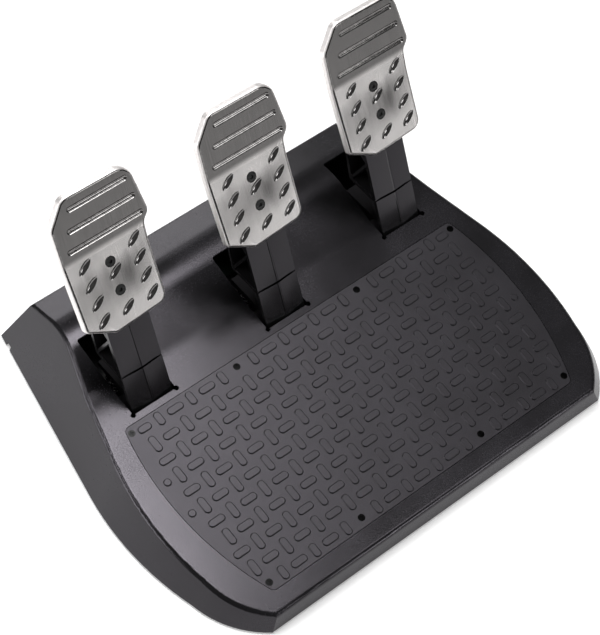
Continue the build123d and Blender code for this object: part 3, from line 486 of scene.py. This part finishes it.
def pressing_tools():
    """One tool for all of a pad's channels, dimples and screw holes."""
    tools = [
        presser(length, channel_width, channel_depth, middle, straight=True)
        for length, middle in channels
    ]
    for across, rows in dimple_columns:
        for row in rows:
            place = (across, first_row + row * row_gap)
            tools.append(presser(dimple_length, dimple_width, dimple_depth, place, dimple_turn))
    for upward in (0, screw_gap):
        bpy.ops.mesh.primitive_cylinder_add(
            vertices=32, radius=hole_radius, depth=0.02, location=(0, upward, 0)
        )
        tools.append(bpy.context.object)
    return merged(tools)


def outlined_pad():
    """The pad's outline with its rounded corners, as one flat face."""
    bpy.ops.object.select_all(action="DESELECT")
    bpy.ops.mesh.primitive_circle_add(vertices=len(pad_corners), radius=0.03, fill_type="NGON")
    pad = bpy.context.object
    for index, (x, y, _) in enumerate(pad_corners):
        old = pad.data.vertices[index].co.copy()
        pick(pad, "VERT", lambda vertex: vertex.co == old)
        bpy.ops.transform.translate(value=(x - old.x, y - old.y, 0))
        bpy.ops.object.mode_set(mode="OBJECT")
    for index, (x, y, radius) in enumerate(pad_corners):
        corner = Vector((x, y, 0))
        before = Vector((*pad_corners[index - 1][:2], 0)) - corner
        after = Vector((*pad_corners[(index + 1) % len(pad_corners)][:2], 0)) - corner
        reach = radius / tan(before.angle(after) / 2)
        pick(pad, "VERT", lambda vertex: (vertex.co - corner).length < near)
        bpy.ops.mesh.bevel(affect="VERTICES", offset=reach, segments=5)
    return pad


def pressed_pad():
    """One pad, lying flat with its lower screw at the origin, then bent."""
    pad = outlined_pad()
    bpy.ops.mesh.select_all(action="SELECT")
    bpy.ops.mesh.extrude_region_move(TRANSFORM_OT_translate={"value": (0, 0, -rim_depth)})
    bpy.ops.mesh.select_all(action="SELECT")
    bpy.ops.mesh.normals_make_consistent(inside=False)
    # Hollow from below, down to the sheet
    pick(pad, "FACE", lambda face: face.normal.z < -0.9)
    bpy.ops.mesh.inset(thickness=sheet)
    bpy.ops.mesh.extrude_region_move(TRANSFORM_OT_translate={"value": (0, 0, rim_depth - sheet)})
    bpy.ops.object.mode_set(mode="OBJECT")
    points = pad.data.vertices
    pick(pad, "EDGE", lambda edge: all(abs(points[i].co.z) < near for i in edge.vertices))
    bpy.ops.mesh.bevel(affect="EDGES", offset=rim_rounding, segments=5)
    bpy.ops.object.mode_set(mode="OBJECT")
    for slot in pad_slots:
        pad.data.materials.append(finishes[slot])
    # The rounded edge and the rim below it have a finish of their own
    for face in pad.data.polygons:
        face.material_index = pad_slots.index("pads" if face.normal.z > 0.85 else "pad_rim")

    tool = pressing_tools()
    cut = pad.modifiers.new("marks", "BOOLEAN")
    cut.operation = "DIFFERENCE"
    cut.solver = "EXACT"
    cut.object = tool
    apply_all(pad)
    bpy.data.objects.remove(tool)
    # Faces sunk below the flat face take the darker pad_marks steel: painted shade in the channels and
    # dimples
    for face in pad.data.polygons:
        if face.material_index == pad_slots.index("pads") and face.center.z < -sunk:
            face.material_index = pad_slots.index("pad_marks")

    # The bend: a cut at each end of it, and then all that lies above it turns
    for y in (bend_at - bend_half, bend_at + bend_half):
        pick(pad, "FACE", everything)
        bpy.ops.mesh.bisect(plane_co=(0, y, 0), plane_no=(0, 1, 0))
    pick(pad, "VERT", lambda vertex: vertex.co.y > bend_at + bend_half - near)
    bpy.ops.transform.rotate(value=-bend_turn, orient_axis="X", center_override=(0, bend_at, 0))
    bpy.ops.object.mode_set(mode="OBJECT")
    soften(pad, edge_rounding)
    bpy.ops.object.shade_smooth_by_angle(angle=smooth)
    apply_all(pad)
    return pad


first_pad = pressed_pad()
for pedal in pedals:
    pad = copied(first_pad, pedal + "_pressed_pad")
    pad.rotation_euler = (pad_tilt, 0, 0)
    pad.location = pad_place[pedal]
    settle(pad)
    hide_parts(pedal + "_pad")
    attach(pad, pedal + "_pedal")
bpy.data.objects.remove(first_pad)

# Return springs, which shorten towards their feet as the arms' tails come down: copies with merged
# points and smooth shading, fixed to the base
for pedal in pedals:
    coil = copied(nodes[pedal + "_return_spring"], pedal + "_coil")
    bpy.ops.object.parent_clear(type="CLEAR_KEEP_TRANSFORM")
    settle(coil)
    pick(coil, "VERT", everything)
    bpy.ops.mesh.remove_doubles(threshold=merge_gap)
    bpy.ops.object.mode_set(mode="OBJECT")
    bpy.ops.object.shade_smooth_by_angle(angle=smooth)
    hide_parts(pedal + "_return_spring")
    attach(coil, "base")
    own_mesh(coil)

# Floor, world and lamps
bpy.ops.object.select_all(action="DESELECT")
bpy.ops.mesh.primitive_plane_add(size=8, location=(0, 0, 0))
floor = bpy.context.object
floor.name = "floor"
floor_finish = Finish("floor", {"Roughness": 0.9, "Specular IOR Level": 0.2, "Emission Strength": 1.0})
mottle = floor_finish.noise(3, 3.0, 0.5)
floor_finish.feed("Base Color", floor_finish.blend(mottle, grey(0.86), grey(0.9)))
floor_finish.feed("Emission Color", floor_finish.blend(floor_finish.seen(), grey(0.0), grey(0.3)))
floor.data.materials.append(floor_finish.material)

world = bpy.data.worlds.new("studio")
bpy.context.scene.world = world
world.use_nodes = True
background = world.node_tree.nodes["Background"]
background.inputs["Color"].default_value = grey(1.0)
background.inputs["Strength"].default_value = 0.13


def lamp(name, place, target, size, power):
    """A soft lamp, with its width and height, that faces a point."""
    data = bpy.data.lights.new(name, "AREA")
    data.shape = "RECTANGLE"
    data.size, data.size_y = size
    data.energy = power
    made = bpy.data.objects.new(name, data)
    made.location = place
    made.rotation_euler = (Vector(target) - Vector(place)).to_track_quat("-Z", "Y").to_euler()
    bpy.context.scene.collection.objects.link(made)


lamp("key", (0.11, 0.35, 1.4), (0, 0, 0.03), (0.6, 0.74), 15)
lamp("fill", (1.05, -2.15, 0.9), (0.1, -0.05, 0.04), (0.6, 0.6), 6)
lamp("side", (-1.3, 0.5, 0.4), (0, 0, 0.08), (0.8, 0.6), 6)
lamp("edge", (-0.8, 0.5, 1.2), (-0.1, 0, 0.05), (0.25, 0.25), 2)
lamp("back", (0.35, 1.5, 0.6), (0, 0.1, 0.05), (0.7, 0.5), 3)
lamp("glint", (0.5, -0.35, 1.2), (0, 0.08, 0.18), (0.25, 0.45), 1.2)
